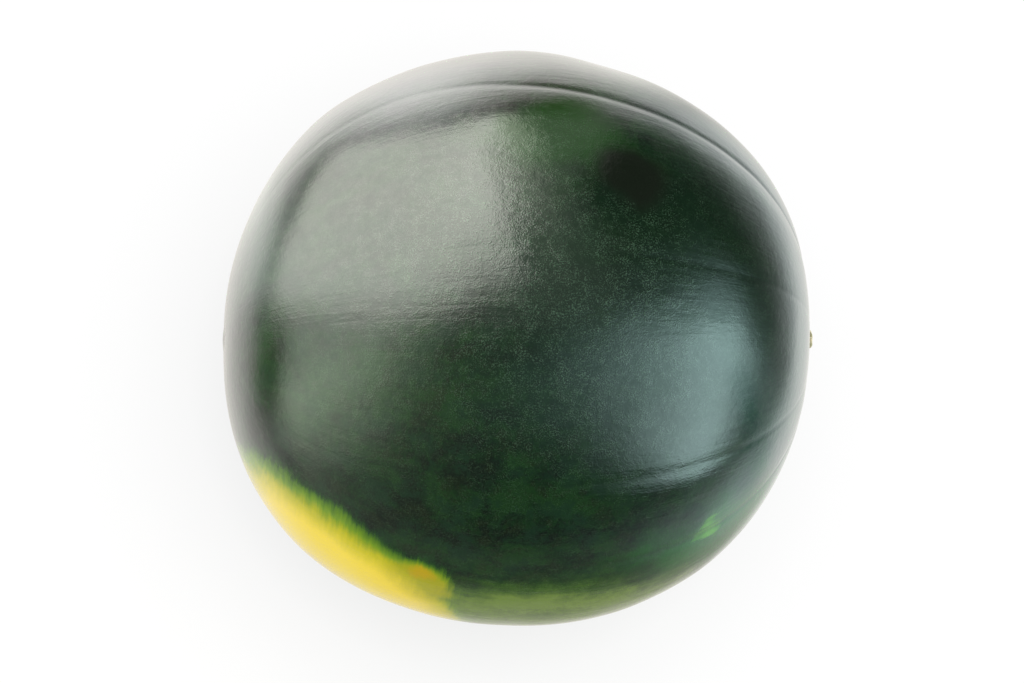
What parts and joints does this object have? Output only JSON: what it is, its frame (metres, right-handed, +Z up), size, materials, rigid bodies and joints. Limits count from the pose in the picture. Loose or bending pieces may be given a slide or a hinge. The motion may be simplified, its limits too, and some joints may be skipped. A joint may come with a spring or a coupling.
{
  "type": "watermelon",
  "caption": "Whole round watermelon with a glossy dark green rind, a yellow ground spot and a short cut stalk, lying on its side on a small flat spot.",
  "frame": {"origin": "centre of the small flat spot under the fruit that it rests on", "axes": "+Z up from the flat spot; +X along the fruit's own axis, level, towards the stalk end; +Y to the far side with the stalk on the right"},
  "size_m": [0.2242, 0.2163, 0.2148],
  "materials": {
    "rind": "satin",
    "stalk": "matte"
  },
  "bodies": {
    "root": {"melon": "rind", "stem": "stalk"}
  },
  "joints": []
}
